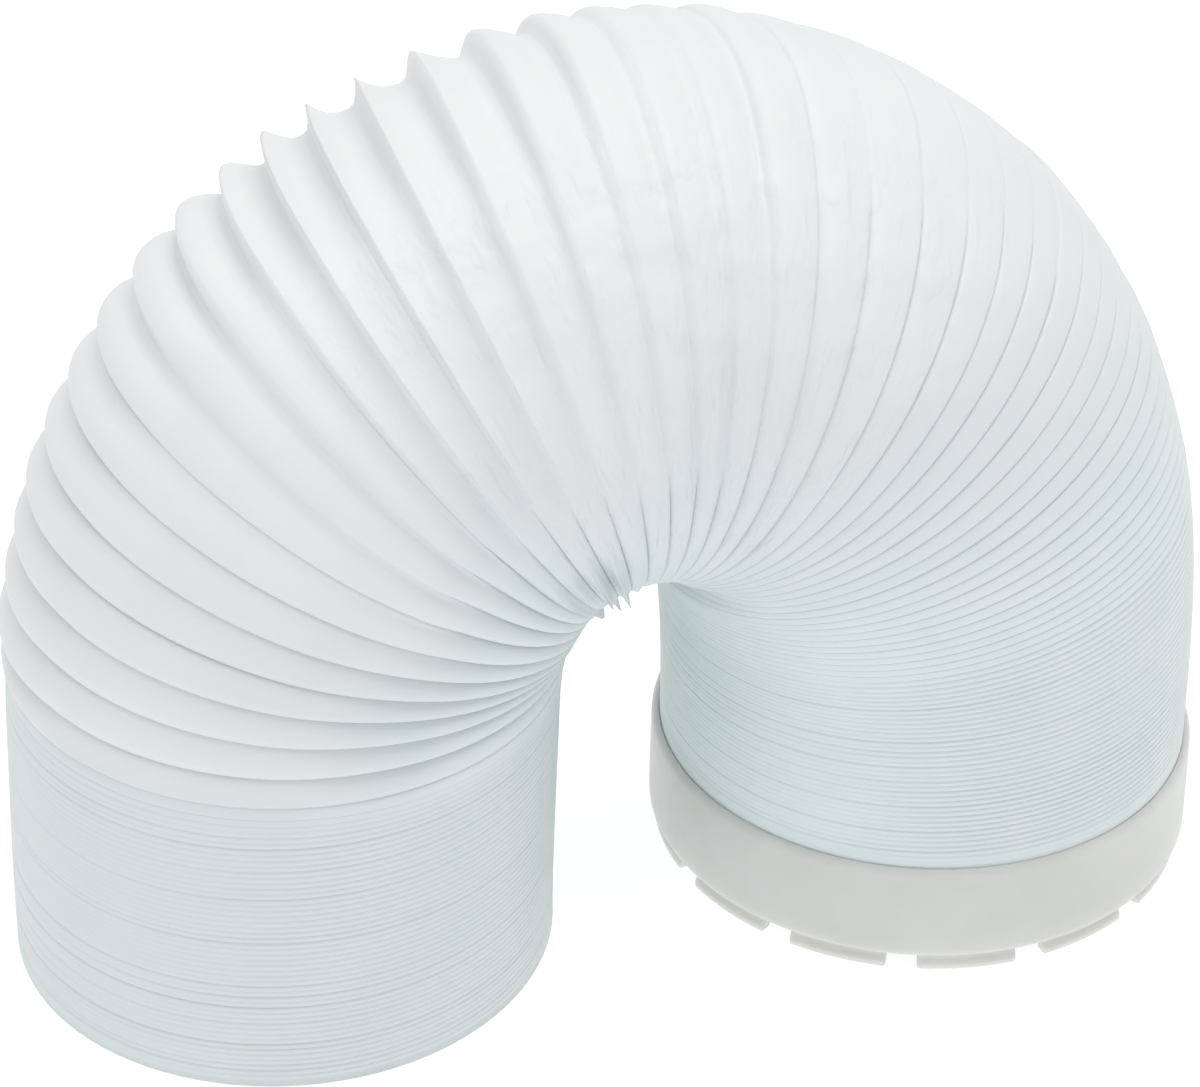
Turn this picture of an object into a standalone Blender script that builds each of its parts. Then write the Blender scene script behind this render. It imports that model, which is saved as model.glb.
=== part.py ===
"""Dryer vent hose: a compressed and bent flexible duct, with an adaptor collar on one end.

Metres, +Z up, +X along the span of the arch from the free leg to the collar leg.
Both legs stand on z = 0, and the middle of the footprint is over the origin.
"""

import math

import bmesh
import bpy
import numpy as np

MM = 0.001

# Hose: a thin film over a hidden wire helix, one duct from end to end.
HOSE_OD = 106.0 * MM
HOSE_WALL = 1.6 * MM            # film and wire together

# Where the bend runs: heading of the centreline, in degrees from straight up,
# at even steps of its length from the free end to the collar end.
HOSE_LENGTH = 323.5 * MM
HEADINGS = (0.0, 0.0, 25.7, 65.7, 109.3, 152.0, 175.6, 180.0)
DEPTH_SHIFT = 5.0 * MM          # the collar leg stands this much further back

# Closed turns slide on each other, so a leg can stand a little to one side of its end.
FREE_FOOT_SHIFT = -1.8 * MM     # towards -X
COLLAR_FOOT_SHIFT = -0.8 * MM
FOOT_SHIFT_OVER = 75.0 * MM     # length of hose that this takes

# Turns: closed up in the legs, spread through the bend. Places are lengths along the hose.
PITCH_CLOSED = 1.25 * MM        # one turn of wire, pushed together
PITCH_OPEN = 6.13 * MM
OPENS_FROM = 60.0 * MM
OPENS_OVER = 8.0 * MM
CLOSES_FROM = 177.0 * MM
CLOSES_OVER = 85.0 * MM
CLOSES_BEND = 0.93              # how quickly the pitch falls at first
BREATH = 0.86 * MM              # the open turns' slow unevenness
BREATH_LENGTH = 43.5 * MM
BREATH_WIDEST = 105.6 * MM
FIRST_NOTCH = 67.7 * MM         # a turn's wire lies here
# Where the turns lean: place and reach along the hose in mm, degrees ahead of the bend.
LEANS = ((74.0, 28.0, -5.6), (126.0, 28.0, 1.0), (172.0, 30.0, -1.2), (246.0, 20.0, 1.6))

# Film between two turns of wire.
FOLD_CLOSED = 0.35 * MM         # depth where turns touch
FOLD_OPEN = 4.5 * MM            # and where they stand wide, on the outside of the bend
FOLD_LOWER = 0.67               # share of that which goes over the top of the arch
LOWER_FROM = 150.0 * MM
LOWER_OVER = 18.0 * MM
FOLD_FRONT = 1.7 * MM           # on the flanks, at the first open turns
FOLD_FRONT_LATER = 0.95 * MM    # and further on
FOLD_SWELL = 1.6 * MM           # how far an open fold stands out of the closed turns
FLANK_SWELL = 0.3 * MM
SOFT_AT = 150.0 * MM            # the flanks' film hangs loose and nearly even round here
SOFT_REACH = 42.0 * MM
TAUT_FROM = 177.0 * MM          # here the film begins to pull tight over the far shoulder
TAUT_OVER = 12.0 * MM
TAUT_SHARE = 0.86               # share of the fold that goes there
LEAST_WIDTH = 3.4 * MM          # closer turns than this are fine relief
ACROSS = (0.0, 0.13, 0.42, 0.74)    # rings of one turn, as shares of the way to the next
CREST_AT = 0.13                 # an open fold leans back to here, steep towards the free end
THORNS_AT = 135.0 * MM          # the outside folds are thin and pointed round here
THORNS_REACH = 22.0 * MM
EVEN_FROM = 165.0 * MM          # from here the folds lean less and less
EVEN_OVER = 30.0 * MM

# Collar: one moulding pushed over the hose's end, standing on its tabs.
COLLAR_WALL = 1.5 * MM
COLLAR_FIT = 0.3 * MM           # gap all round the hose
COLLAR_HEIGHT = 20.5 * MM       # without its tabs
COLLAR_RIM_DROP = 2.2 * MM       # height of the rounding at its top
LEDGE_THICK = 2.0 * MM          # inner ledge that stops the hose
LEDGE_WIDTH = 4.8 * MM           # how far it stands in from the collar's wall
SEAT_GAP = 0.3 * MM             # between the hose's end and the ledge
TAB_COUNT = 13
FIRST_GAP_AT = -110.4            # degrees round from +X
TAB_HEIGHT = 4.0 * MM
TAB_THICK = 1.6 * MM
TAB_INSET = 1.8 * MM            # of the tab's outer face from the collar's
TAB_GAP = 6.0 * MM              # between two tabs
TAB_LIP = 0.8 * MM              # hook at the tab's foot
TAB_LIP_HEIGHT = 1.2 * MM

# Facets
HOSE_SIDES = 24
COLLAR_SIDES = 52

HOSE_RADIUS = HOSE_OD / 2
SEAT_HEIGHT = TAB_HEIGHT + LEDGE_THICK + SEAT_GAP
COLLAR_INNER_RADIUS = HOSE_RADIUS + COLLAR_FIT
COLLAR_RADIUS = COLLAR_INNER_RADIUS + COLLAR_WALL
LEDGE_INNER_RADIUS = COLLAR_INNER_RADIUS - LEDGE_WIDTH


def clear_scene():
    for thing in list(bpy.data.objects):
        bpy.data.objects.remove(thing, do_unlink=True)


def new_collection(name, helper=False):
    group = bpy.data.collections.new(name)
    bpy.context.scene.collection.children.link(group)
    group.hide_render = helper
    return group


def new_material(name, colour, roughness, transmission=0.0):
    material = bpy.data.materials.new(name)
    material.use_nodes = True
    shader = material.node_tree.nodes["Principled BSDF"]
    shader.inputs["Base Color"].default_value = (*colour, 1.0)
    shader.inputs["Roughness"].default_value = roughness
    shader.inputs["Transmission Weight"].default_value = transmission
    return material


def new_object(name, mesh, group, material=None):
    thing = bpy.data.objects.new(name, mesh)
    group.objects.link(thing)
    if material:
        mesh.materials.append(material)
    return thing


def smooth(share):
    """0 to 1 with a level start and end."""
    share = np.clip(share, 0.0, 1.0)
    return share * share * (3 - 2 * share)


def smooth_slopes(steps, values):
    """Slopes at even stations that keep a rising curve rising."""
    rise = np.diff(values) / steps
    slopes = np.zeros(len(values))
    for i in range(1, len(values) - 1):
        if rise[i - 1] * rise[i] > 0:
            slopes[i] = 2 * rise[i - 1] * rise[i] / (rise[i - 1] + rise[i])
    return slopes


def heading_at(along):
    """Heading in radians at arc lengths: a smooth curve through the stations."""
    values = np.radians(HEADINGS)
    step = HOSE_LENGTH / (len(values) - 1)
    slopes = smooth_slopes(step, values)
    cell = np.clip((along / step).astype(int), 0, len(values) - 2)
    t = along / step - cell
    return (
        values[cell] * (1 + 2 * t) * (1 - t) ** 2
        + slopes[cell] * step * t * (1 - t) ** 2
        + values[cell + 1] * t * t * (3 - 2 * t)
        + slopes[cell + 1] * step * t * t * (t - 1)
    )


def centreline():
    """Fine table of the centreline: length, x, y, z, heading, bend."""
    along = np.linspace(0.0, HOSE_LENGTH, 3201)
    heading = heading_at(along)
    middle = (heading[1:] + heading[:-1]) / 2
    step = np.diff(along)
    x = np.concatenate([[0.0], np.cumsum(np.sin(middle) * step)])
    z = np.concatenate([[0.0], np.cumsum(np.cos(middle) * step)])
    # The collar leg ends on its ledge, whatever the headings add up to.
    ease = smooth(along / HOSE_LENGTH)
    z = z + (SEAT_HEIGHT - z[-1]) * ease
    y = DEPTH_SHIFT * (ease - 0.5)
    x = x + FREE_FOOT_SHIFT * (1 - smooth(along / FOOT_SHIFT_OVER))
    x = x + COLLAR_FOOT_SHIFT * smooth((along - HOSE_LENGTH) / FOOT_SHIFT_OVER + 1)
    bend = np.gradient(heading, along)
    return along, x, y, z, heading, bend


def bump_at(along, place, reach):
    """1 at the place, falling softly to 0 at the reach to either side."""
    return 0.5 + 0.5 * np.cos(math.pi * np.clip((along - place) / reach, -1, 1))


def pitch_at(along):
    """Length of hose to one turn of wire: closed, opening quickly, then closing slowly."""
    opening = smooth((along - OPENS_FROM) / OPENS_OVER)
    left = 1 - np.clip((along - CLOSES_FROM) / CLOSES_OVER, 0.0, 1.0)
    breath = BREATH * np.cos(2 * math.pi * (along - BREATH_WIDEST) / BREATH_LENGTH)
    breath = breath * smooth((along / MM - 70) / 10) * (1 - smooth((along / MM - 195) / 25))
    return PITCH_CLOSED + (PITCH_OPEN - PITCH_CLOSED) * opening * left**CLOSES_BEND + breath


def ring_tilt(along, heading):
    """Heading of the turns' own planes, which lean a little from the bend."""
    lean = sum(turn * bump_at(along, place * MM, reach * MM) for place, reach, turn in LEANS)
    return heading + math.radians(1) * lean


def turn_count(along):
    """Turns of wire passed at each arc length, 0 at the first open notch."""
    advance = pitch_at(along)
    count = np.concatenate([[0.0], np.cumsum(np.diff(along) * 2 / (advance[1:] + advance[:-1]))])
    return count - np.interp(FIRST_NOTCH, along, count)


def film(at, width, side):
    """Depth and crest radius of the film's fold, for a turn's width and the degrees round from
    the outside of the bend: deep outside, shallow on the flanks, least where it is pulled tight."""
    openness = smooth((width - 1.5 * MM) / (8 * MM))
    flank = smooth((side - 25) / 45)
    stood = smooth((width - 1.2 * MM) / (2.6 * MM))
    soft = bump_at(at, SOFT_AT, SOFT_REACH) * smooth((side - 40) / 25) * (1 - smooth((side - 105) / 25))
    lower = smooth((at - LOWER_FROM) / LOWER_OVER)
    outside = (FOLD_OPEN * (1 - FOLD_LOWER * lower) - FOLD_CLOSED) * openness * (1 - flank)
    front = FOLD_FRONT + (FOLD_FRONT_LATER - FOLD_FRONT) * smooth((at / MM - 95) / 35)
    flanks = (front * (1 - 0.35 * soft) - FOLD_CLOSED) * stood * flank
    depth = FOLD_CLOSED + outside + flanks
    swell = FOLD_SWELL * (1 - 0.2 * lower) * openness * (1 - flank)
    crest = HOSE_RADIUS + swell + FLANK_SWELL * stood * flank
    reach = 32 - 16 * smooth((at / MM - 190) / 50)
    taut = smooth((at - TAUT_FROM) / TAUT_OVER) * (1 - smooth((side - reach) / 16))
    return depth * (1 - TAUT_SHARE * taut), crest - 0.9 * MM * taut * openness, openness


def fold(across, at, openness):
    """Height of the film over its notch, 0 to 1: an even pillow between close turns; where they
    stand wide, steep up to the crest and falling away to the next turn, most for a thorn."""
    pillow = abs(math.sin(math.pi * across)) ** 0.42
    power = 0.45 + 0.3 * smooth((at / MM - 145) / 12)
    power = power + 1.5 * bump_at(at, THORNS_AT, THORNS_REACH) * openness
    leaning = np.minimum(across / CREST_AT, ((1 - across) / (1 - CREST_AT)) ** power)
    even = smooth((at - EVEN_FROM) / EVEN_OVER)
    return leaning * (1 - even) + pillow * even


def hose_rings(along, bend):
    """Rings of the outside: arc length and share of the way to the next turn, None on the legs.
    Rings of the lining lie at the wires only."""
    count = turn_count(along)
    whole = np.arange(math.ceil(count[0]), math.floor(count[-1]) + 1)
    at = np.interp(whole, count, along)
    widths = np.interp(at, along, pitch_at(along) * (1 + bend * HOSE_RADIUS))
    opened = whole[widths > LEAST_WIDTH]
    ends = np.interp([opened[0], opened[-1] + 1], count, along)
    lead = [(spot, None) for spot in np.linspace(0.0, ends[0], 7)[:-1]]
    tail = [(spot, None) for spot in np.linspace(ends[1], HOSE_LENGTH, 7)]
    rings = [(np.interp(n + share, count, along), share) for n in opened for share in ACROSS]
    return lead + rings + tail


def hose_mesh():
    """Tube wall along the centreline, folded between its open turns, with flat end rings."""
    along, x, y, z, heading, bend = centreline()
    mesh = bmesh.new()
    outer, inner = [], []
    tilt = ring_tilt(along, heading)
    phi = 2 * math.pi * np.arange(HOSE_SIDES) / HOSE_SIDES
    side = np.degrees(np.arccos(np.clip(np.cos(phi), -1, 1)))
    for at, share in hose_rings(along, bend):
        angle = np.interp(at, along, tilt)
        middle = np.array([np.interp(at, along, line) for line in (x, y, z)])
        out = np.array([-math.cos(angle), 0.0, math.sin(angle)])
        way = np.cos(phi)[:, None] * out + np.sin(phi)[:, None] * np.array([0.0, 1.0, 0.0])
        radius = np.full(HOSE_SIDES, HOSE_RADIUS)
        if share is not None:
            width = np.interp(at, along, pitch_at(along))
            width = width * (1 + np.interp(at, along, bend) * HOSE_RADIUS * np.cos(phi))
            depth, crest, openness = film(at, width, side)
            radius = crest - depth + depth * fold(share, at, openness)
        outer.append([mesh.verts.new(middle + r * w) for r, w in zip(radius, way)])
        if not share:
            lining = [mesh.verts.new(middle + (r - HOSE_WALL) * w) for r, w in zip(radius, way)]
            inner.append(lining)
    for wall, turned in ((outer, False), (inner, True)):
        for lower, upper in zip(wall, wall[1:]):
            for k in range(HOSE_SIDES):
                j = (k + 1) % HOSE_SIDES
                loop = [lower[k], lower[j], upper[j], upper[k]]
                mesh.faces.new(loop[::-1] if turned else loop)
    for k in range(HOSE_SIDES):
        j = (k + 1) % HOSE_SIDES
        mesh.faces.new([outer[0][j], outer[0][k], inner[0][k], inner[0][j]])
        mesh.faces.new([outer[-1][k], outer[-1][j], inner[-1][j], inner[-1][k]])
    bmesh.ops.recalc_face_normals(mesh, faces=mesh.faces)
    data = bpy.data.meshes.new("hose")
    mesh.to_mesh(data)
    mesh.free()
    return data


def turned_ring(name, profile, group, sides, material=None):
    """A closed profile of (radius, height) points, top to bottom on its outer side, turned about Z."""
    data = bpy.data.meshes.new(name)
    points = [(radius, 0.0, height) for radius, height in profile]
    edges = [(i, (i + 1) % len(points)) for i in range(len(points))]
    data.from_pydata(points, edges, [])
    thing = new_object(name, data, group, material)
    screw = thing.modifiers.new("turn", "SCREW")
    screw.axis = "Z"
    screw.angle = 2 * math.pi
    screw.steps = sides
    screw.render_steps = sides
    screw.use_merge_vertices = True
    screw.merge_threshold = 0.00001
    return thing


def collar_profile():
    """Section of the collar's body and ledge, with its tab ring, as if the tabs had no gaps."""
    top = TAB_HEIGHT + COLLAR_HEIGHT
    drop = COLLAR_RIM_DROP
    ledge_top = TAB_HEIGHT + LEDGE_THICK
    tab_outer = COLLAR_RADIUS - TAB_INSET
    tab_inner = tab_outer - TAB_THICK
    return [
        (COLLAR_INNER_RADIUS + 0.3 * COLLAR_WALL, top),
        (COLLAR_INNER_RADIUS + 0.6 * COLLAR_WALL, top - 0.12 * drop),
        (COLLAR_INNER_RADIUS + 0.87 * COLLAR_WALL, top - 0.45 * drop),
        (COLLAR_RADIUS, top - drop),
        (COLLAR_RADIUS, TAB_HEIGHT + 0.4 * MM),
        (COLLAR_RADIUS - 0.4 * MM, TAB_HEIGHT),
        (tab_outer, TAB_HEIGHT),
        (tab_outer, TAB_LIP_HEIGHT + TAB_LIP),
        (tab_outer + TAB_LIP, TAB_LIP_HEIGHT),
        (tab_outer + TAB_LIP, 0.0),
        (tab_inner, 0.0),
        (tab_inner, TAB_HEIGHT),
        (LEDGE_INNER_RADIUS, TAB_HEIGHT),
        (LEDGE_INNER_RADIUS, ledge_top),
        (COLLAR_INNER_RADIUS, ledge_top),
        (COLLAR_INNER_RADIUS, top - 0.2 * drop),
    ]


def gap_cutters(group):
    """One block for each gap between two tabs."""
    near = LEDGE_INNER_RADIUS - 8 * MM
    far = COLLAR_RADIUS + 5 * MM
    depth = TAB_HEIGHT + 2 * MM
    blocks = []
    for i in range(TAB_COUNT):
        data = bpy.data.meshes.new("tab_gap")
        mesh = bmesh.new()
        bmesh.ops.create_cube(mesh, size=1.0)
        for corner in mesh.verts:
            corner.co.x = (near + far) / 2 + corner.co.x * (far - near)
            corner.co.y *= TAB_GAP
            corner.co.z = TAB_HEIGHT - depth / 2 + corner.co.z * depth
        mesh.to_mesh(data)
        mesh.free()
        block = new_object(f"tab_gap_{i + 1}", data, group)
        block.rotation_euler.z = math.radians(FIRST_GAP_AT) + 2 * math.pi * i / TAB_COUNT
        block.display_type = "WIRE"
        blocks.append(block)
    return blocks


def main():
    clear_scene()
    parts = new_collection("dryer_vent_hose")
    helpers = new_collection("cutters", helper=True)
    film = new_material("white_film", (0.86, 0.87, 0.86), 0.45)
    milky = new_material("milky_plastic", (0.78, 0.78, 0.74), 0.4, 0.15)

    along, x, y, z, heading, bend = centreline()
    wall = hose_mesh()
    spots = np.array([spot.co[:2] for spot in wall.vertices])
    foot = np.array([x[-1], y[-1]])
    low = np.minimum(spots.min(axis=0), foot - COLLAR_RADIUS)
    high = np.maximum(spots.max(axis=0), foot + COLLAR_RADIUS)
    shift_x, shift_y = -(low + high) / 2

    hose = new_object("hose", wall, parts, film)
    hose.location = (shift_x, shift_y, 0.0)

    collar = turned_ring("adaptor_collar", collar_profile(), parts, COLLAR_SIDES, milky)
    collar.location = (foot[0] + shift_x, foot[1] + shift_y, 0.0)
    for block in gap_cutters(helpers):
        block.location = collar.location
        cut = collar.modifiers.new(block.name, "BOOLEAN")
        cut.operation = "DIFFERENCE"
        cut.solver = "EXACT"
        cut.object = block


main()
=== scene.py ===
"""Looks of a dryer vent hose: white film over a wire helix, closed up in both legs and fanned out
through the arch, with a milky moulded collar on one leg.

The part's own frame: +Z up, +X along the arch, both legs standing on z = 0. Shapes are worked out
in millimetres and put into the meshes in metres. A place along the hose, s, is in millimetres from
its free end. An angle round it, phi, starts at the outside of the bend: 90 degrees is the front and
180 the inner side. A side is that angle without its sign. A pair named for a change holds where the
change begins and how far it takes.
"""

import math

import bpy
import numpy as np
from mathutils import Matrix, Vector


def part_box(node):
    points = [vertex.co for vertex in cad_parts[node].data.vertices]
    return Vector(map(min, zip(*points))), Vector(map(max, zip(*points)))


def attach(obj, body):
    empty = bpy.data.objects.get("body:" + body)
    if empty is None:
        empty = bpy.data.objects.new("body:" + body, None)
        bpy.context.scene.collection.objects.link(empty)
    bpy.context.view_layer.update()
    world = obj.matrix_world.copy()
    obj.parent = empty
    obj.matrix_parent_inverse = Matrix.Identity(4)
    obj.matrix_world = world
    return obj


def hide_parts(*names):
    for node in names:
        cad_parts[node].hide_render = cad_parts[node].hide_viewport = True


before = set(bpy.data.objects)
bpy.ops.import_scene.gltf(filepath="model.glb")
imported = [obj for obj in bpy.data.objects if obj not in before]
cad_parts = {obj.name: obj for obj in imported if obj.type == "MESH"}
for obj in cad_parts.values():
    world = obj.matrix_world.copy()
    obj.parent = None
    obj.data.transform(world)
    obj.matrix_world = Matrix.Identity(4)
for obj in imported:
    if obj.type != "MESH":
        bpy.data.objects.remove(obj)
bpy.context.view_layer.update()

MM = 0.001

# Line of the hose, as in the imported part
HOSE_RADIUS = 53.0
HOSE_LENGTH = 323.5
LINE_POINTS = 6401
HEADINGS = (0.0, 0.0, 25.7, 65.7, 109.3, 152.0, 175.6, 180.0)
SEAT_HEIGHT = 6.3
DEPTH_SHIFT = 5.0
FREE_FOOT_SHIFT = -1.8
COLLAR_FOOT_SHIFT = -0.8
FOOT_SHIFT_OVER = 75.0
# Where the turns lean: place, reach along the hose, degrees ahead of the bend
LEANS = ((74.0, 28.0, -5.6), (126.0, 28.0, 1.0), (172.0, 30.0, -1.2), (246.0, 20.0, 1.6))

# Wire turns
PITCH_CLOSED = 1.25
PITCH_OPEN = 6.13
OPENS_FROM, OPENS_OVER = 60.0, 8.0
CLOSES_FROM, CLOSES_OVER, CLOSES_BEND = 177.0, 85.0, 0.93
BREATH, BREATH_LENGTH, BREATH_WIDEST = 0.86, 43.5, 105.6    # the open turns' slow unevenness
BREATH_COMES = (70.0, 10.0)
BREATH_GOES = (195.0, 25.0)
FIRST_NOTCH = 67.7
LEAST_ROOM = 0.5            # between two wires, in the crook of the bend

# Film between two turns
WALL = 1.6
OPEN_WIDTH = (1.5, 8.0)     # by the room between two wires, folds stand up
LOOSE_WIDTH = (1.2, 2.6)    # and turns stop touching
FOLD_LEFT, FOLD_RIGHT = 0.30, 0.42      # depth of the closed turns, left leg and collar leg
LEFT_LEAST, LEFT_MORE, LEFT_INWARD = 0.35, 0.75, (35.0, 75.0)   # shares of it, deeper inward
RIGHT_LESS, RIGHT_INWARD = 0.65, (85.0, 50.0)   # and shallower inward
RIGHT_LEG = (195.0, 45.0)   # from the left leg's depth to the collar leg's
FOLD_OPEN = 4.6             # depth on the outside of the bend
FOLD_LOWER, LOWER_FROM, LOWER_OVER = 0.67, 153.0, 15.0      # the share lost over the top
FOLD_FLANK, FOLD_FLANK_LATER = 1.8, 1.9     # depth on the front and the back
FLANK_LATER, FLANK_SIDE = (95.0, 35.0), (22.0, 28.0)
FLANK_LESS, FLANK_ENDS = 0.4, (178.0, 20.0)
FAN_SIDE, FAN_MORE, FAN_ENDS = (75.0, 30.0), 0.7, (112.0, 20.0)     # deeper creases far inward
FOLD_SWELL, FLANK_SWELL, SWELL_LESS = 1.6, 0.3, 0.2     # crests stand out past the wire
DEEP_AT = -15.0             # degrees round: the folds are deepest here, a little behind the outside
TAUT_FROM, TAUT_OVER = 177.0, 12.0      # here the film begins to pull tight over the far shoulder
TAUT_SHARE, TAUT_SINK = 0.86, 0.9
TAUT_SIDE, TAUT_NARROWER, TAUT_NARROWS, TAUT_EDGE = 32.0, 16.0, (190.0, 50.0), 16.0
TUCK_AT, TUCK_REACH = 222.0, 14.0       # a tuck in the collar leg's inner side, under the bend
TUCK_ROUND, TUCK_OVER, TUCK_DEPTH = 160.0, 30.0, 2.4

# Unevenness: each noise is (cells in a turn, seed)
UNEVEN, UNEVEN_OPEN, UNEVEN_LOOSE = (5.3, 11), 0.45, 0.2
GAPE, GAPE_LEAST, GAPE_DEPTH, GAPE_EVEN = (1.3, 12), 0.6, 0.5, 0.04     # of closed turns
SLACK, SLACK_DEPTH = (1.7, 16), 0.45
SLACK_AT, SLACK_REACH = 292.0, 13.0     # closed turns stand a little apart here, above the collar
SLACK_ROUND, SLACK_OVER = 58.0, 60.0
FAINT_AT, FAINT_REACH, FAINT_SHARE = 62.5, 7.0, 0.8     # the first open crevice is a faint one
SNUG_REACH, SNUG_SHARE, SNUG_ROOM = 5.0, 0.8, 0.01      # in the collar's rim

# Section of one fold, 0 at its wire and 1 at the next
CREST_AT = 0.13             # an open fold leans back to here, steep towards the free end
TOOTH_SLIP = 0.15           # and starts its climb this much before the wire
TOOTH_FROM, TOOTH_OVER = 92.0, 25.0     # folds begin to lean here
TOOTH_CLIMB, TOOTH_FALL = 1.0, 0.9      # powers of its two slopes
THORNS_AT, THORNS_REACH = 135.0, 24.0   # the outside folds are thin and pointed round here
THORN_CLIMB, THORN_FALL = 0.7, 2.0      # and their powers are higher by this
EVEN_FROM, EVEN_OVER, EVEN_SIDE = 162.0, 24.0, (88.0, 16.0)     # from here folds lean less and less
PILLOW_CRISP, PILLOW_SOFTER, PILLOW_SKEW = 0.24, 1.0, 0.34      # powers of an even fold
SOFT_COMES, SOFT_GOES, SOFT_SIDE = (122.0, 16.0), (178.0, 10.0), (88.0, 16.0)
WAVE_SHARE, WAVE_SKEW, WAVE_POWER = 0.55, 0.66, 1.3     # a broad soft wave, mixed into a pillow
WAVE_GOES, WAVE_SIDE = (180.0, 25.0), (100.0, 25.0)
CREASE_AT, CREASE_WIDE, CREASE_DEPTH = 0.37, 0.5, 0.22  # a faint second crease between two wires
CREASED_AT, CREASED_REACH = 170.0, 19.0
CREASED_SIDE, CREASED_ENDS = (8.0, 12.0), (80.0, 20.0)
FINS_AT, FINS_REACH, FIN_HEIGHT = 138.0, 20.0, 4.2      # ragged film in the crook of the bend
FINS_SIDE, FIN_POWER, FIN_LEAST = (108.0, 14.0), 6, 0.7
FIN_FINE, FIN_COARSE = (40.3, 14), (9.1, 15)

# Where the film's looks change, and where its painted shade and painted fill go
# Turns open this wide take the loose film's colour. The inner side of the bend takes less of it and
# is darker, as painted shade.
SPREAD_WIDTH, INNER_SHADE_SHARE, INNER_SHADE_SIDE = (2.0, 8.5), 0.5, (88.0, 35.0)
MARKS_COME, MARKS_GO = (112.0, 30.0), (190.0, 35.0)
MARKS_SIDE, MARKS_END = (8.0, 25.0), (105.0, 40.0)
# Where the collar leg's colour comes in, in full on its inner side and half on its outer: painted
# fill where the free leg and the bend shade it.
COLLAR_FILL_COMES, COLLAR_FILL_LEAST, COLLAR_FILL_INWARD = (205.0, 50.0), 0.5, (95.0, 45.0)
# Painted shade: the legs' film colours are darker and cooler than the loose film's, in place of the
# shade between closed turns. The collar leg's are lighter than the free leg's, a painted fill where
# the free leg and the bend shade it.
FREE_LEG_SHADE_COLOURS = (0.71, 0.765, 0.77), (0.735, 0.78, 0.785)
COLLAR_LEG_SHADE_FILL_COLOURS = (0.76, 0.84, 0.84), (0.785, 0.855, 0.855)
LOOSE_COLOURS = (0.82, 0.84, 0.838), (0.84, 0.855, 0.853)
MILKY_COLOURS = (0.685, 0.685, 0.65), (0.73, 0.73, 0.70)

# Grid of the film: places across one turn, from its wire to the next
OPEN_ROWS = (0.0, 0.04, 0.085, 0.13, 0.18, 0.26, 0.37, 0.5, 0.64, 0.78, 0.9, 0.97)
CLOSED_ROWS = (0.0, 0.17, 0.83)
COLUMNS = 96
SEAM_AT = 200.0             # degrees round from the outside of the bend, where each turn hands on
OPEN_UNTIL = 256.0
FOOT_TURN, HEAD_TURN = 0.6, 0.7         # share of a turn that the flat ends take up
LEG_RINGS, BEND_RINGS = 8, 116          # of the lining
LINING_DEPTH = 0.9          # of the lining under the film's notches
HELIX_START = 1000          # whole turns are counted from here, so that noise cells stay positive

# Collar
COLLAR_INNER = 53.06
COLLAR_OUTER = 54.8
COLLAR_TOP = 24.5
RIM_DROP = 2.0
TAB_TOP = 4.0
LEDGE_TOP = 6.0
LEDGE_INNER = 48.5
TAB_OUTER = 53.0
TAB_INNER = 51.4
TAB_LIP = 0.8
TAB_LIP_TOP = 1.2
TAB_COUNT = 13
FIRST_GAP_AT = -110.4
TAB_GAP = 6.0
TAB_SIDE, TAB_CORNER = 0.05, 0.35       # run of a tab's side and of the rounding at its edge
TAB_SHARE = 0.9             # of its whole section, where the side meets the rounding
TAB_COLUMNS = 9
TAB_ROOT, TAB_EDGE, HOOK_EDGE = 0.05, 0.25, 0.3
SLOPE_IN, SLOPE_DOWN, SLOPE_ROUND = 0.12, 0.1, 0.15     # how the hook's slope meets its sides
RIM_WIDE, RIM_TAPER = 1.35, 0.2
WALL_STATIONS = ((0.8, 19.0), (0.5, 15.0), (0.2, 11.0), (0.0, 7.5), (0.0, 5.2))  # taper, height
HEEL = 0.7                  # rounding under the collar's outside
LEDGE_EDGE, LEDGE_FILLET, BORE_MIDDLE = 0.3, 0.5, 14.0
ROUND_STEPS = 7

# Light and camera
PALE_DAYLIGHT = (0.98, 0.995, 1.0, 1.0)
WORLD_LIGHT, FLOOR_GLOW = 0.65, 0.83
FLOOR_REACH, FLOOR_HEIGHT = 6.0, -0.0002
LIGHT_PLACE, LIGHT_AIM, LIGHT_SIZE, LIGHT_POWER = (0.1, -0.05, 1.6), (0, 0, 0.08), 1.6, 11.0
CAMERA_TURN, CAMERA_RISE, CAMERA_ROLL = -14.288, 33.362, 0.653
CAMERA_AIM, CAMERA_DISTANCE = (-0.003556, -0.0034, 0.0778), 0.7794248
LENS_PIXELS, PHOTO_WIDTH, FILM_WIDTH = 4070.3, 1200, 36.0


def ease(share):
    """0 to 1 with a level start and end: three times the square less twice the cube."""
    share = np.clip(share, 0.0, 1.0)
    return share * share * (3 - 2 * share)


def begun(value, start, over):
    """0 up to the start and 1 once it is past by over, eased."""
    return ease((value - start) / over)


def near(s, place, reach):
    """1 at the place and 0 at the reach to either side: half of 1 + cosine."""
    return 0.5 + 0.5 * np.cos(math.pi * np.clip((s - place) / reach, -1, 1))


def soft_noise(helix, kind):
    """Smooth random numbers 0 to 1 along the helix: one draw a cell, eased from one to the next."""
    cells, seed = kind
    draws = np.random.default_rng(seed).random(4096)
    place = helix * cells
    whole = np.floor(place).astype(int)
    t = ease(place - whole)
    return draws[whole % len(draws)] * (1 - t) + draws[(whole + 1) % len(draws)] * t


def whole_round(phi):
    """Degrees round the hose, from 0 to 360."""
    return np.mod(np.degrees(phi), 360)


def side_of(phi):
    """Degrees round from the outside of the bend, the same to the front and to the back."""
    return np.degrees(np.arccos(np.clip(np.cos(phi), -1, 1)))


def collar_axis():
    """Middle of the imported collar, x and y in millimetres."""
    low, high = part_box("adaptor_collar")
    return (low.x + high.x) / 2 / MM, (low.y + high.y) / 2 / MM


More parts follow.
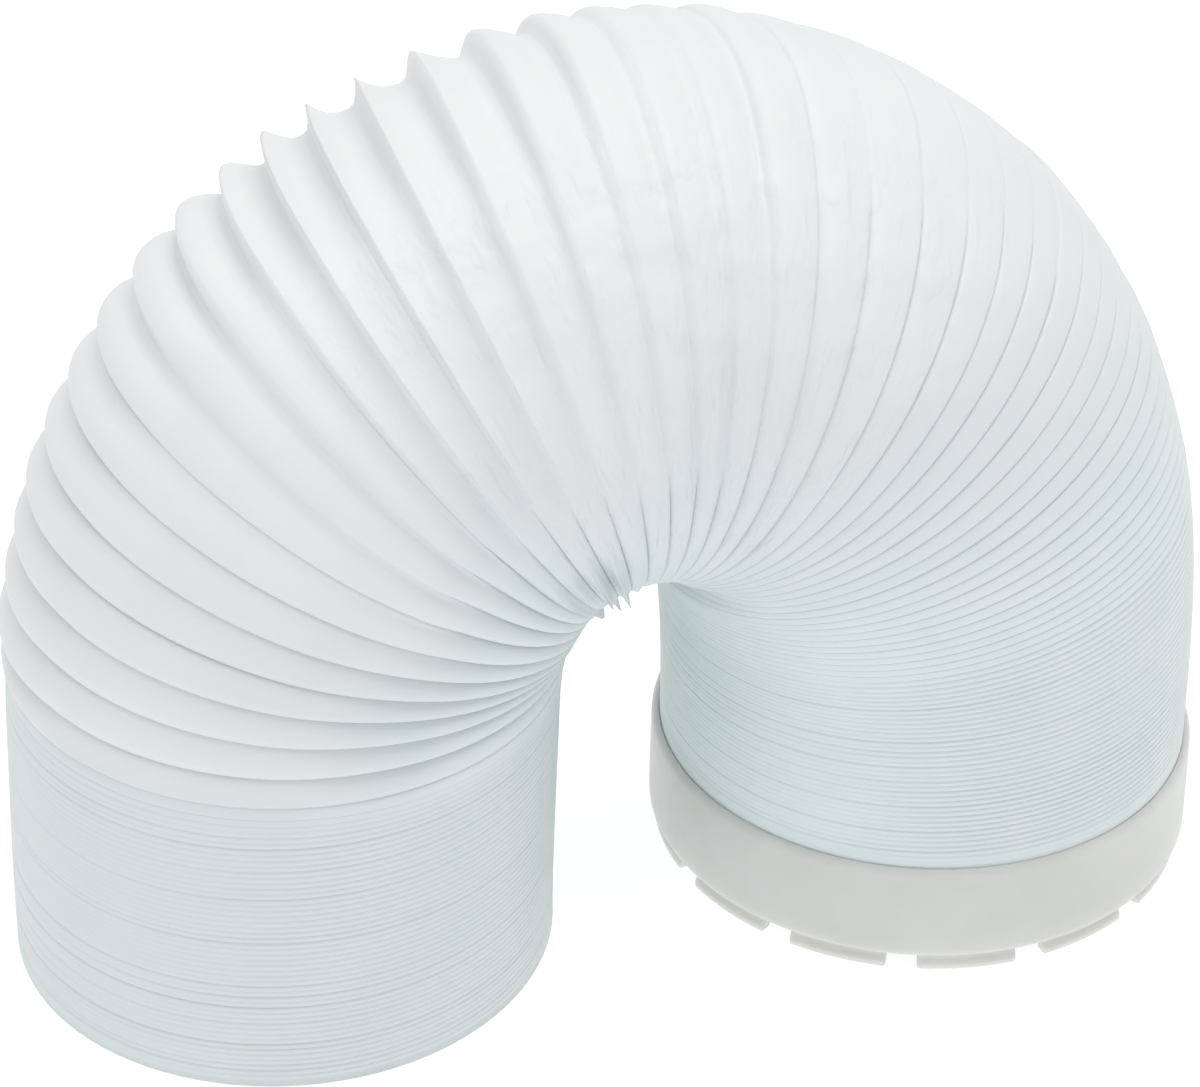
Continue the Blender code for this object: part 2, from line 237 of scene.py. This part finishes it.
def hose_line():
    """The centreline as arrays over s: heading is a monotone cubic through even stations, x and z
    are running sums of its sine and cosine, and turns is the running sum of 1 / pitch."""
    s = np.linspace(0.0, HOSE_LENGTH, LINE_POINTS)
    knots = np.radians(HEADINGS)
    step = HOSE_LENGTH / (len(knots) - 1)
    rise = np.diff(knots) / step
    slopes = np.zeros(len(knots))
    both = rise[:-1] * rise[1:] > 0
    slopes[1:-1][both] = (2 * rise[:-1] * rise[1:])[both] / (rise[:-1] + rise[1:])[both]
    cell = np.clip((s / step).astype(int), 0, len(knots) - 2)
    t = s / step - cell
    heading = (
        knots[cell] * (1 + 2 * t) * (1 - t) ** 2
        + slopes[cell] * step * t * (1 - t) ** 2
        + knots[cell + 1] * t * t * (3 - 2 * t)
        + slopes[cell + 1] * step * t * t * (t - 1)
    )
    middle = (heading[1:] + heading[:-1]) / 2
    x = np.concatenate([[0.0], np.cumsum(np.sin(middle) * np.diff(s))])
    z = np.concatenate([[0.0], np.cumsum(np.cos(middle) * np.diff(s))])
    along = ease(s / HOSE_LENGTH)
    z += (SEAT_HEIGHT - z[-1]) * along
    y = DEPTH_SHIFT * along
    x += FREE_FOOT_SHIFT * (1 - begun(s, 0.0, FOOT_SHIFT_OVER))
    x += COLLAR_FOOT_SHIFT * begun(s, HOSE_LENGTH - FOOT_SHIFT_OVER, FOOT_SHIFT_OVER)
    collar_x, collar_y = collar_axis()
    x += collar_x - x[-1]
    y += collar_y - y[-1]

    left = 1 - np.clip((s - CLOSES_FROM) / CLOSES_OVER, 0.0, 1.0)
    opened = begun(s, OPENS_FROM, OPENS_OVER) * left**CLOSES_BEND
    breath = BREATH * np.cos(2 * math.pi * (s - BREATH_WIDEST) / BREATH_LENGTH)
    breath *= begun(s, *BREATH_COMES) * (1 - begun(s, *BREATH_GOES))
    pitch = PITCH_CLOSED + (PITCH_OPEN - PITCH_CLOSED) * opened + breath
    turns = np.concatenate([[0.0], np.cumsum(np.diff(s) * 2 / (pitch[1:] + pitch[:-1]))])
    turns -= np.interp(FIRST_NOTCH, s, turns)
    lean = sum(turn * near(s, place, reach) for place, reach, turn in LEANS)
    return {
        "s": s,
        "place": np.stack([x, y, z], axis=1),
        "tilt": heading + np.radians(lean),
        "bend": np.gradient(heading, s),
        "pitch": pitch,
        "turns": turns,
    }


def read(line, name, s):
    """One of the line's values at any place along the hose."""
    return np.interp(s, line["s"], line[name])


def on_hose(line, s, phi, radius):
    """Point at place s, angle phi and radius: centreline plus radius times (cos phi outwards plus
    sin phi to the front)."""
    tilt = read(line, "tilt", s)
    middle = np.stack([np.interp(s, line["s"], line["place"][:, i]) for i in range(3)], axis=-1)
    out = np.stack([-np.cos(tilt), np.zeros_like(tilt), np.sin(tilt)], axis=-1)
    way = np.cos(phi)[..., None] * out + np.sin(phi)[..., None] * np.array([0.0, -1.0, 0.0])
    return middle + radius[..., None] * way


def turn_width(line, s, phi):
    """Room between two wires there: pitch times 1 + bend times the offset from the middle."""
    lever = HOSE_RADIUS * np.cos(phi)
    return np.maximum(read(line, "pitch", s) * (1 + read(line, "bend", s) * lever), LEAST_ROOM)


def film_fold(s, phi, width):
    """Depth and crest radius of a fold, and what shapes it: deep on the outside of the bend,
    shallow on the flanks, faint where turns touch or where the film is pulled tight."""
    side = side_of(phi)
    flank = begun(side_of(phi - math.radians(DEEP_AT)), *FLANK_SIDE)
    openness = begun(width, *OPEN_WIDTH)
    stood = begun(width, *LOOSE_WIDTH)
    lower = begun(s, LOWER_FROM, LOWER_OVER)

    left = FOLD_LEFT * (LEFT_LEAST + LEFT_MORE * begun(side, *LEFT_INWARD))
    right = FOLD_RIGHT * (1 - RIGHT_LESS * begun(side, *RIGHT_INWARD))
    closed = left + (right - left) * begun(s, *RIGHT_LEG)
    outside = (FOLD_OPEN * (1 - FOLD_LOWER * lower) - closed) * openness * (1 - flank)
    front = FOLD_FLANK + (FOLD_FLANK_LATER - FOLD_FLANK) * begun(s, *FLANK_LATER)
    front = front * (1 - FLANK_LESS * begun(s, *FLANK_ENDS))
    front = front * (1 + begun(side, *FAN_SIDE) * (FAN_MORE - begun(s, *FAN_ENDS)))
    depth = closed + outside + (front - closed) * stood * flank

    reach = TAUT_SIDE - TAUT_NARROWER * begun(s, *TAUT_NARROWS)
    taut = begun(s, TAUT_FROM, TAUT_OVER) * (1 - begun(side, reach, TAUT_EDGE))
    depth = depth * (1 - TAUT_SHARE * taut)
    swell = FOLD_SWELL * (1 - SWELL_LESS * lower) * openness * (1 - flank)
    crest = HOSE_RADIUS + swell + FLANK_SWELL * stood * flank - TAUT_SINK * taut * openness
    tuck = near(s, TUCK_AT, TUCK_REACH) * near(whole_round(phi), TUCK_ROUND, TUCK_OVER)
    crest = crest - TUCK_DEPTH * tuck
    shape = {"side": side, "openness": openness, "stood": stood}
    return depth, crest, shape


def unevenness(s, phi, helix, shape):
    """What is added to a fold's depth and to its crest, so that no two are alike: uneven crests
    where turns are open, and closed turns that gape a little, over about one turn each."""
    uneven = soft_noise(helix, UNEVEN) - 0.5
    higher = (UNEVEN_OPEN * shape["openness"] + UNEVEN_LOOSE * shape["stood"]) * uneven
    gape = np.clip(soft_noise(helix, GAPE) - GAPE_LEAST, 0, 1)
    deeper = (1 - shape["stood"]) * (GAPE_DEPTH * gape - GAPE_EVEN)
    slack = near(s, SLACK_AT, SLACK_REACH) * near(whole_round(phi), SLACK_ROUND, SLACK_OVER)
    return deeper + SLACK_DEPTH * slack * soft_noise(helix, SLACK), higher


def fold_section(s, across, shape):
    """Height of the film, 0 at a wire and up to 1 between two. A pillow is sin(pi across) to a
    power, a low one for a crisp crevice and a high one for a soft one. A tooth climbs as a power
    of the way to its crest and falls as a power of the way that is left to the next climb, a high
    power for a thorn."""
    side = shape["side"]
    soft = begun(s, *SOFT_COMES) * (1 - begun(s, *SOFT_GOES)) * (1 - begun(side, *SOFT_SIDE))
    pillow = np.abs(np.sin(math.pi * across ** (1 - PILLOW_SKEW * soft)))
    pillow = pillow ** (PILLOW_CRISP + PILLOW_SOFTER * soft)
    wave = shape["stood"] * (1 - begun(s, *WAVE_GOES)) * (1 - begun(side, *WAVE_SIDE))
    broad = np.sin(math.pi * across**WAVE_SKEW) ** WAVE_POWER
    pillow = pillow + WAVE_SHARE * wave * (1 - soft) * (broad - pillow)

    way = np.mod(across + TOOTH_SLIP, 1.0)
    top = CREST_AT + TOOTH_SLIP
    thorn = near(s, THORNS_AT, THORNS_REACH) * shape["openness"]
    climb = np.clip(way / top, 0, 1) ** (TOOTH_CLIMB + THORN_CLIMB * thorn)
    fall = np.clip((1 - way) / (1 - top), 0, 1) ** (TOOTH_FALL + THORN_FALL * thorn)
    point = np.minimum(climb, fall)
    tooth = np.sin(math.pi / 2 * point) * (1 - thorn) + point * thorn

    even = 1 - begun(s, TOOTH_FROM, TOOTH_OVER) * (1 - begun(s, EVEN_FROM, EVEN_OVER))
    even = np.maximum(even, begun(side, *EVEN_SIDE))
    return tooth * (1 - even) + pillow * even


def film_radius(line, s, phi, across, helix):
    """Radius of the film: its crest less its depth times 1 - height, less a faint second crease
    where the flank's film is half loose, plus ragged fins in the crook of the bend."""
    width = turn_width(line, s, phi)
    depth, crest, shape = film_fold(s, phi, width)
    deeper, higher = unevenness(s, phi, helix, shape)
    # The film lies snug and nearly even in the collar's rim.
    snug = near(s, HOSE_LENGTH - COLLAR_TOP + SEAT_HEIGHT, SNUG_REACH)
    depth = (depth + deeper) * (1 - FAINT_SHARE * near(s, FAINT_AT, FAINT_REACH))
    depth = depth * (1 - SNUG_SHARE * snug)
    crest = crest + higher + (COLLAR_INNER - HOSE_RADIUS - SNUG_ROOM) * snug

    side = shape["side"]
    creased = near(s, CREASED_AT, CREASED_REACH)
    creased = creased * begun(side, *CREASED_SIDE) * (1 - begun(side, *CREASED_ENDS))
    off_crease = (across - CREASE_AT) * width / CREASE_WIDE
    crease = CREASE_DEPTH * creased * np.exp(-(off_crease**2))
    fins = near(s, FINS_AT, FINS_REACH) * begun(side, *FINS_SIDE)
    ragged = np.clip(soft_noise(helix, FIN_FINE) + soft_noise(helix, FIN_COARSE) - FIN_LEAST, 0, 1)
    fin = FIN_HEIGHT * fins * ragged * np.sin(math.pi * across) ** FIN_POWER
    return crest - depth + depth * fold_section(s, across, shape) - crease + fin


def rows_across(is_open):
    """Places of the rows across one turn: many across an open one, few across a closed one."""
    return OPEN_ROWS if is_open else CLOSED_ROWS


def strip_rows(line):
    """Rows of the helical strip as (whole turn, place across it), and which turns are open."""
    first = math.ceil(line["turns"][0] + FOOT_TURN)
    last = math.floor(line["turns"][-1] - HEAD_TURN)
    whole = np.arange(first, last)
    middle = np.interp(whole + 0.5, line["turns"], line["s"])
    is_open = (middle > OPENS_FROM) & (middle < OPEN_UNTIL)
    rows = [(n, at) for n, opened in zip(whole, is_open) for at in rows_across(opened)]
    return np.array(rows + [(last, 0.0)]), is_open


def zip_up(left, right, left_at, right_at):
    """Triangles between two runs of points side by side, whose places run from 0 to 1."""
    i, j, tris = 0, 0, []
    while i < len(left) - 1 or j < len(right) - 1:
        up_left = left_at[i + 1] if i < len(left) - 1 else 2.0
        up_right = right_at[j + 1] if j < len(right) - 1 else 2.0
        if up_left < up_right:
            tris.append((left[i], right[j], left[i + 1]))
            i += 1
        else:
            tris.append((left[i], right[j], right[j + 1]))
            j += 1
    return tris


def film_faces(row_count, is_open, ring_count):
    """Corners of the faces, over the points of the strip, the lining and the two end rings. They go
    round the hose first and then along it, so that faces look outwards."""
    column = np.arange(COLUMNS)
    number = np.arange(row_count * COLUMNS).reshape(row_count, COLUMNS)
    inner = number.size + np.arange(ring_count * COLUMNS).reshape(ring_count, COLUMNS)
    foot = inner[-1, -1] + 1 + column
    head = foot + COLUMNS
    after = np.roll(column, -1)

    quads = [np.stack([number[:-1, :-1], number[:-1, 1:], number[1:, 1:], number[1:, :-1]], -1)]
    tris = []
    sizes = np.where(is_open, len(OPEN_ROWS), len(CLOSED_ROWS))
    start = np.concatenate([[0], np.cumsum(sizes)])
    for i in range(len(sizes) - 1):
        left = number[start[i] : start[i + 1] + 1, -1]
        right = number[start[i + 1] : start[i + 2] + 1, 0]
        if len(left) == len(right):
            quads.append(np.stack([left[:-1], right[:-1], right[1:], left[1:]], axis=1))
        else:
            left_at, right_at = rows_across(is_open[i]), rows_across(is_open[i + 1])
            tris += zip_up(left, right, left_at + (1.0,), right_at + (1.0,))
    # The flat ends: a band that runs out along the first and the last turn.
    quads.append(np.stack([foot[:-1], foot[1:], number[0, 1:], number[0, :-1]], axis=1))
    quads.append(np.stack([number[-1, :-1], number[-1, 1:], head[1:], head[:-1]], axis=1))
    end, first = number[0, -1], number[: start[1] + 1, 0]
    tris += [(foot[-1], foot[0], first[0]), (foot[-1], first[0], end)]
    tris += [(end, a, b) for a, b in zip(first, first[1:])]
    last, begin = number[start[-2] :, -1], number[-1, 0]
    tris += [(a, begin, b) for a, b in zip(last, last[1:])]
    tris += [(last[-1], begin, head[0]), (last[-1], head[0], head[-1])]

    quads.append(np.stack([inner[:-1], inner[1:], inner[1:][:, after], inner[:-1][:, after]], -1))
    quads.append(np.stack([foot, inner[0], inner[0][after], foot[after]], axis=1))
    quads.append(np.stack([head, head[after], inner[-1][after], inner[-1]], axis=1))
    faces = np.concatenate([q.reshape(-1, 4) for q in quads]).tolist()
    return faces + [[int(corner) for corner in tri] for tri in tris]


def film_marks(line, s, phi):
    """Values that the film's material reads at each point: its place on the hose rolled straight,
    and how far it is spread open, less on the inner side of the bend as painted shade, how creased,
    and how much of the collar leg's painted fill it takes, most on that leg's inner side."""
    place = np.stack([HOSE_RADIUS * np.cos(phi), HOSE_RADIUS * np.sin(phi), s], axis=1)
    side = side_of(phi)
    spread = begun(turn_width(line, s, phi), *SPREAD_WIDTH)
    # Painted shade: less of the loose colour on the inner side of the bend, so the film is darker
    # there.
    spread = spread * (1 - INNER_SHADE_SHARE * begun(side, *INNER_SHADE_SIDE))
    creased = begun(s, *MARKS_COME) * (1 - begun(s, *MARKS_GO))
    creased = creased * begun(side, *MARKS_SIDE) * (1 - begun(side, *MARKS_END))
    # Painted fill: the collar leg's lighter colour, in full on its inner side, where the free leg
    # and the bend shade it.
    inward = COLLAR_FILL_LEAST + (1 - COLLAR_FILL_LEAST) * begun(side, *COLLAR_FILL_INWARD)
    collar_leg_fill = begun(s, *COLLAR_FILL_COMES) * inward
    return {"film_place": place, "film_state": np.stack([spread, creased, collar_leg_fill], axis=1)}


def hose_film(line):
    """One closed shell. The outside is a strip one turn long that winds up the hose: point (row,
    column) lies at turn row + column / COLUMNS, and each turn's last column meets the next turn's
    first. The lining is a plain tube of rings inside it, and a flat ring closes each end."""
    rows, is_open = strip_rows(line)
    share = np.arange(COLUMNS) / COLUMNS
    phi = math.radians(SEAM_AT) + 2 * math.pi * share
    counts = rows.sum(axis=1)[:, None] + share[None, :] - (360 - SEAM_AT) / 360
    strip_s = np.interp(counts, line["turns"], line["s"])
    strip_phi = np.broadcast_to(phi, strip_s.shape)
    across = np.broadcast_to(rows[:, 1][:, None], strip_s.shape)
    helix = rows[:, 0][:, None] + share[None, :] + HELIX_START
    strip_radius = film_radius(line, strip_s, strip_phi, across, helix)

    rings = np.concatenate([
        np.linspace(0.0, OPENS_FROM, LEG_RINGS)[:-1],
        np.linspace(OPENS_FROM, OPEN_UNTIL, BEND_RINGS),
        np.linspace(OPEN_UNTIL, HOSE_LENGTH, LEG_RINGS)[1:],
    ])
    lining_s = np.repeat(rings[:, None], COLUMNS, axis=1)
    lining_phi = np.broadcast_to(phi, lining_s.shape)
    depth, crest, _ = film_fold(lining_s, lining_phi, turn_width(line, lining_s, lining_phi))
    lining_radius = np.minimum(crest - depth - LINING_DEPTH, HOSE_RADIUS - WALL)

    end_s = np.repeat(np.array([[0.0], [HOSE_LENGTH]]), COLUMNS, axis=1)
    end_phi = np.broadcast_to(phi, end_s.shape)
    end_radius = np.full(end_s.shape, HOSE_RADIUS)

    s = np.concatenate([strip_s.ravel(), lining_s.ravel(), end_s.ravel()])
    angle = np.concatenate([strip_phi.ravel(), lining_phi.ravel(), end_phi.ravel()])
    radius = np.concatenate([strip_radius.ravel(), lining_radius.ravel(), end_radius.ravel()])
    faces = film_faces(len(rows), is_open, len(rings))
    return on_hose(line, s, angle, radius), faces, film_marks(line, s, angle)


def collar_section():
    """The collar's section where a tab is, and where none is, as (radius, height) from the top of
    its outside down, under its tab and up its bore. Rim and heel are quarter ellipses."""
    turn = np.linspace(0, math.pi / 2, ROUND_STEPS)
    rim_radius = COLLAR_OUTER - RIM_TAPER - RIM_WIDE + RIM_WIDE * np.sin(turn)
    rim = np.stack([rim_radius, COLLAR_TOP - RIM_DROP * (1 - np.cos(turn))], axis=1)
    wall = np.array([[COLLAR_OUTER - RIM_TAPER * lean, height] for lean, height in WALL_STATIONS])
    heel_height = TAB_TOP + HEEL - HEEL * np.sin(turn)
    heel = np.stack([COLLAR_OUTER - HEEL * (1 - np.cos(turn)), heel_height], axis=1)
    hook, slope_top = TAB_OUTER + TAB_LIP, TAB_LIP_TOP + TAB_LIP
    tab = np.array([
        [TAB_OUTER + TAB_ROOT, TAB_TOP],
        [TAB_OUTER, TAB_TOP - TAB_EDGE],
        [TAB_OUTER, slope_top + SLOPE_ROUND],
        [TAB_OUTER + SLOPE_IN, slope_top - SLOPE_DOWN],
        [hook - SLOPE_IN, TAB_LIP_TOP + SLOPE_DOWN],
        [hook, TAB_LIP_TOP - SLOPE_ROUND],
        [hook, HOOK_EDGE],
        [hook - TAB_EDGE, 0.0],
        [TAB_INNER + TAB_EDGE, 0.0],
        [TAB_INNER, TAB_EDGE],
        [TAB_INNER, TAB_TOP],
    ])
    under = np.linspace(TAB_OUTER + TAB_ROOT, TAB_INNER, len(tab))
    level = np.stack([under, np.full(len(tab), TAB_TOP)], axis=1)
    bore = np.array([
        [LEDGE_INNER + LEDGE_EDGE, TAB_TOP],
        [LEDGE_INNER, TAB_TOP + LEDGE_EDGE],
        [LEDGE_INNER, LEDGE_TOP - LEDGE_EDGE],
        [LEDGE_INNER + LEDGE_EDGE, LEDGE_TOP],
        [COLLAR_INNER - LEDGE_FILLET, LEDGE_TOP],
        [COLLAR_INNER, LEDGE_TOP + LEDGE_FILLET],
        [COLLAR_INNER, BORE_MIDDLE],
        [COLLAR_INNER, COLLAR_TOP - TAB_EDGE],
    ])
    above = np.concatenate([rim, wall, heel])
    return np.concatenate([above, tab, bore]), np.concatenate([above, level, bore])


def collar_moulding():
    """A section turned about the collar's axis, going from the plain one to the tabbed one and back
    once for each tab, most of it over a twentieth of a millimetre at the tab's side."""
    tabbed, plain = collar_section()
    period = 360 / TAB_COUNT
    half_gap = math.degrees(TAB_GAP / 2 / TAB_OUTER)
    side = half_gap + math.degrees(TAB_SIDE / TAB_OUTER)
    corner = side + math.degrees(TAB_CORNER / TAB_OUTER)
    places = [(share * half_gap, 0.0) for share in (-1, -0.5, 0, 0.5, 1)]
    places += [(side, TAB_SHARE), (corner, 1.0)]
    places += [(place, 1.0) for place in np.linspace(corner, period - corner, TAB_COLUMNS)[1:]]
    places += [(period - side, TAB_SHARE)]
    places = np.array(places)
    first = FIRST_GAP_AT + period * np.arange(TAB_COUNT)
    angle = np.radians(first[:, None] + places[:, 0][None, :]).ravel()
    share = np.tile(places[:, 1], TAB_COUNT)[:, None, None]
    section = plain + (tabbed - plain) * share
    x, y = collar_axis()
    x = x + section[..., 0] * np.cos(angle)[:, None]
    y = y + section[..., 0] * np.sin(angle)[:, None]
    points = np.stack([x, y, section[..., 1]], axis=-1)
    number = np.arange(points.shape[0] * points.shape[1]).reshape(points.shape[:2])
    onward, down = np.roll(number, -1, axis=0), np.roll(number, -1, axis=1)
    both = np.roll(onward, -1, axis=1)
    faces = np.stack([number, down, both, onward], axis=-1).reshape(-1, 4)
    return points.reshape(-1, 3), faces.tolist()


def new_piece(name, points, faces, material, attributes=None):
    """A smooth mesh object at the origin, from points in millimetres, with its attributes."""
    mesh = bpy.data.meshes.new(name)
    mesh.from_pydata((points * MM).tolist(), [], faces)
    mesh.polygons.foreach_set("use_smooth", [True] * len(mesh.polygons))
    for key, values in (attributes or {}).items():
        layer = mesh.attributes.new(key, "FLOAT_VECTOR", "POINT")
        layer.data.foreach_set("vector", values.astype(np.float32).ravel())
    mesh.materials.append(material)
    mesh.update()
    piece = bpy.data.objects.new(name, mesh)
    bpy.context.scene.collection.objects.link(piece)
    return piece


def new_material(name, colour, roughness):
    """A plain material, and the nodes, links and shader to work on it with."""
    material = bpy.data.materials.new(name)
    material.use_nodes = True
    nodes, links = material.node_tree.nodes, material.node_tree.links
    shader = nodes["Principled BSDF"]
    shader.inputs["Base Color"].default_value = (*colour, 1.0)
    shader.inputs["Roughness"].default_value = roughness
    return material, nodes, links, shader


def noise(nodes, links, vector, scale, detail=2.0, stretch=None):
    """A noise value over a vector, which is stretched first where stretch is given."""
    if stretch:
        mapping = nodes.new("ShaderNodeMapping")
        mapping.inputs["Scale"].default_value = stretch
        links.new(vector, mapping.inputs["Vector"])
        vector = mapping.outputs["Vector"]
    texture = nodes.new("ShaderNodeTexNoise")
    texture.inputs["Scale"].default_value = scale
    texture.inputs["Detail"].default_value = detail
    links.new(vector, texture.inputs["Vector"])
    return texture.outputs["Fac"]


def ramp(nodes, links, value, low, high, to_low=0.0, to_high=1.0):
    """Brings values between low and high to between to_low and to_high, and holds the rest."""
    spread = nodes.new("ShaderNodeMapRange")
    spread.inputs["From Min"].default_value = low
    spread.inputs["From Max"].default_value = high
    spread.inputs["To Min"].default_value = to_low
    spread.inputs["To Max"].default_value = to_high
    links.new(value, spread.inputs["Value"])
    return spread.outputs["Result"]


def times(nodes, links, first, second):
    """The product of two values."""
    product = nodes.new("ShaderNodeMath")
    product.operation = "MULTIPLY"
    links.new(first, product.inputs[0])
    links.new(second, product.inputs[1])
    return product.outputs["Value"]


def mix_colours(nodes, links, share, first, second):
    """The first colour where share is 0, the second where it is 1; each is a tuple or a socket."""
    mix = nodes.new("ShaderNodeMix")
    mix.data_type = "RGBA"
    for colour, socket in ((first, mix.inputs[6]), (second, mix.inputs[7])):
        if isinstance(colour, tuple):
            socket.default_value = (*colour, 1.0)
        else:
            links.new(colour, socket)
    links.new(share, mix.inputs[0])
    return mix.outputs[2]


def bump(nodes, links, height, distance, strength, before=None):
    """A normal bumped by a height, on top of the one before it where there is one."""
    bumped = nodes.new("ShaderNodeBump")
    bumped.inputs["Distance"].default_value = distance
    bumped.inputs["Strength"].default_value = strength
    links.new(height, bumped.inputs["Height"])
    if before:
        links.new(before, bumped.inputs["Normal"])
    return bumped.outputs["Normal"]


def film_material():
    """White film: darker and cooler where the turns are closed up and on the inner side of the
    bend, as painted shade, lifted on the collar leg by painted fill, and creased along the rings
    where it is loose.
    """
    material, nodes, links, shader = new_material("hose_film", LOOSE_COLOURS[0], 0.5)
    shader.inputs["Specular IOR Level"].default_value = 0.5
    place = nodes.new("ShaderNodeAttribute")
    place.attribute_name = "film_place"
    state = nodes.new("ShaderNodeAttribute")
    state.attribute_name = "film_state"
    split = nodes.new("ShaderNodeSeparateXYZ")
    links.new(state.outputs["Vector"], split.inputs["Vector"])
    opened, crumpled, collar_leg = split.outputs["X"], split.outputs["Y"], split.outputs["Z"]
    along = place.outputs["Vector"]

    cloud = noise(nodes, links, along, scale=0.06, detail=3.0)
    cloud = ramp(nodes, links, cloud, low=0.35, high=0.65)
    # Painted shade for the legs, lifted on the collar leg by painted fill, and the loose film's own
    # colour where turns are open.
    free = mix_colours(nodes, links, cloud, *FREE_LEG_SHADE_COLOURS)
    collar_leg_fill = mix_colours(nodes, links, cloud, *COLLAR_LEG_SHADE_FILL_COLOURS)
    leg_shade = mix_colours(nodes, links, collar_leg, free, collar_leg_fill)
    loose = mix_colours(nodes, links, cloud, *LOOSE_COLOURS)
    links.new(mix_colours(nodes, links, opened, leg_shade, loose), shader.inputs["Base Color"])

    # Short marks along the rings, and wide soft dents, in the loose film of the flanks.
    mark = noise(nodes, links, along, scale=1.0, stretch=(0.11, 0.11, 0.42))
    mark = ramp(nodes, links, mark, low=0.5, high=0.75)
    dent = noise(nodes, links, along, scale=0.11, detail=1.0)
    grain = noise(nodes, links, along, scale=1.6)
    dent, mark = times(nodes, links, dent, crumpled), times(nodes, links, mark, crumpled)
    normal = bump(nodes, links, grain, distance=0.0001, strength=0.2)
    normal = bump(nodes, links, dent, distance=0.003, strength=0.35, before=normal)
    normal = bump(nodes, links, mark, distance=0.0006, strength=0.45, before=normal)
    links.new(normal, shader.inputs["Normal"])
    rough = noise(nodes, links, along, scale=0.35)
    rough = ramp(nodes, links, rough, low=0.3, high=0.7, to_low=0.46, to_high=0.6)
    links.new(rough, shader.inputs["Roughness"])
    return material


def milky_material():
    """Natural milky plastic: faint clouds in its colour, a fine moulded skin."""
    material, nodes, links, shader = new_material("milky_plastic", MILKY_COLOURS[1], 0.36)
    place = nodes.new("ShaderNodeTexCoord").outputs["Object"]
    cloud = noise(nodes, links, place, scale=45.0, detail=3.0)
    cloud = ramp(nodes, links, cloud, low=0.35, high=0.65)
    links.new(mix_colours(nodes, links, cloud, *MILKY_COLOURS), shader.inputs["Base Color"])
    grain = noise(nodes, links, place, scale=1400.0)
    grain = bump(nodes, links, grain, distance=0.00008, strength=0.25)
    links.new(grain, shader.inputs["Normal"])
    rough = noise(nodes, links, place, scale=260.0)
    rough = ramp(nodes, links, rough, low=0.3, high=0.7, to_low=0.3, to_high=0.42)
    links.new(rough, shader.inputs["Roughness"])
    shader.inputs["Subsurface Weight"].default_value = 0.6
    shader.inputs["Subsurface Radius"].default_value = (1.0, 0.95, 0.85)
    shader.inputs["Subsurface Scale"].default_value = 0.004
    return material


def white_floor():
    """A flat pale floor that glows a little, so that it shows no edge against the surround."""
    corners = [(-1, -1), (1, -1), (1, 1), (-1, 1)]
    corners = [(FLOOR_REACH * x, FLOOR_REACH * y, FLOOR_HEIGHT) for x, y in corners]
    mesh = bpy.data.meshes.new("floor")
    mesh.from_pydata(corners, [], [(0, 1, 2, 3)])
    material, _, _, shader = new_material("floor_white", (0.3, 0.3, 0.3), 0.9)
    shader.inputs["Emission Color"].default_value = PALE_DAYLIGHT
    shader.inputs["Emission Strength"].default_value = FLOOR_GLOW
    mesh.materials.append(material)
    floor = bpy.data.objects.new("floor", mesh)
    bpy.context.scene.collection.objects.link(floor)


def soft_light_above():
    """One wide soft light above and a little to the front."""
    lamp = bpy.data.lights.new("soft_light_above", "AREA")
    lamp.shape = "DISK"
    lamp.size = LIGHT_SIZE
    lamp.energy = LIGHT_POWER
    lamp.color = (1.0, 0.998, 0.99)
    light = bpy.data.objects.new("soft_light_above", lamp)
    light.location = LIGHT_PLACE
    light.rotation_mode = "QUATERNION"
    aim = Vector(LIGHT_AIM) - Vector(LIGHT_PLACE)
    light.rotation_quaternion = aim.to_track_quat("-Z", "Y")
    bpy.context.scene.collection.objects.link(light)


def studio():
    """An even pale surround, a plain white floor and one soft light."""
    scene = bpy.context.scene
    scene.view_settings.view_transform = "Standard"
    world = bpy.data.worlds.new("surround")
    scene.world = world
    world.use_nodes = True
    back = world.node_tree.nodes["Background"]
    back.inputs["Color"].default_value = PALE_DAYLIGHT
    back.inputs["Strength"].default_value = WORLD_LIGHT
    white_floor()
    soft_light_above()


def photo_camera():
    """The photograph's camera, 14.3 degrees to the left of the front and 33.4 degrees up. Its roll
    lifts its right side."""
    turn, rise = math.radians(CAMERA_TURN), math.radians(CAMERA_RISE)
    roll = math.radians(CAMERA_ROLL)
    level = math.cos(rise)
    back = Vector((math.sin(turn) * level, -math.cos(turn) * level, math.sin(rise)))
    right = (-back).cross(Vector((0, 0, 1))).normalized()
    up = right.cross(-back)
    across = right * math.cos(roll) + up * math.sin(roll)
    upward = up * math.cos(roll) - right * math.sin(roll)
    lens = bpy.data.cameras.new("photo_camera")
    lens.sensor_fit = "HORIZONTAL"
    lens.sensor_width = FILM_WIDTH
    lens.lens = LENS_PIXELS / PHOTO_WIDTH * FILM_WIDTH
    lens.clip_start, lens.clip_end = 0.05, 50.0
    camera = bpy.data.objects.new("photo_camera", lens)
    bpy.context.scene.collection.objects.link(camera)
    axes = Matrix((across, upward, back)).transposed().to_4x4()
    place = Vector(CAMERA_AIM) + back * CAMERA_DISTANCE
    camera.matrix_world = Matrix.Translation(place) @ axes
    bpy.context.scene.camera = camera


line = hose_line()
points, faces, marks = hose_film(line)
film = new_piece("hose_film", points, faces, film_material(), marks)
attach(film, "root")
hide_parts("hose")

points, faces = collar_moulding()
moulding = new_piece("collar_moulding", points, faces, milky_material())
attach(moulding, "root")
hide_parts("adaptor_collar")

studio()
photo_camera()
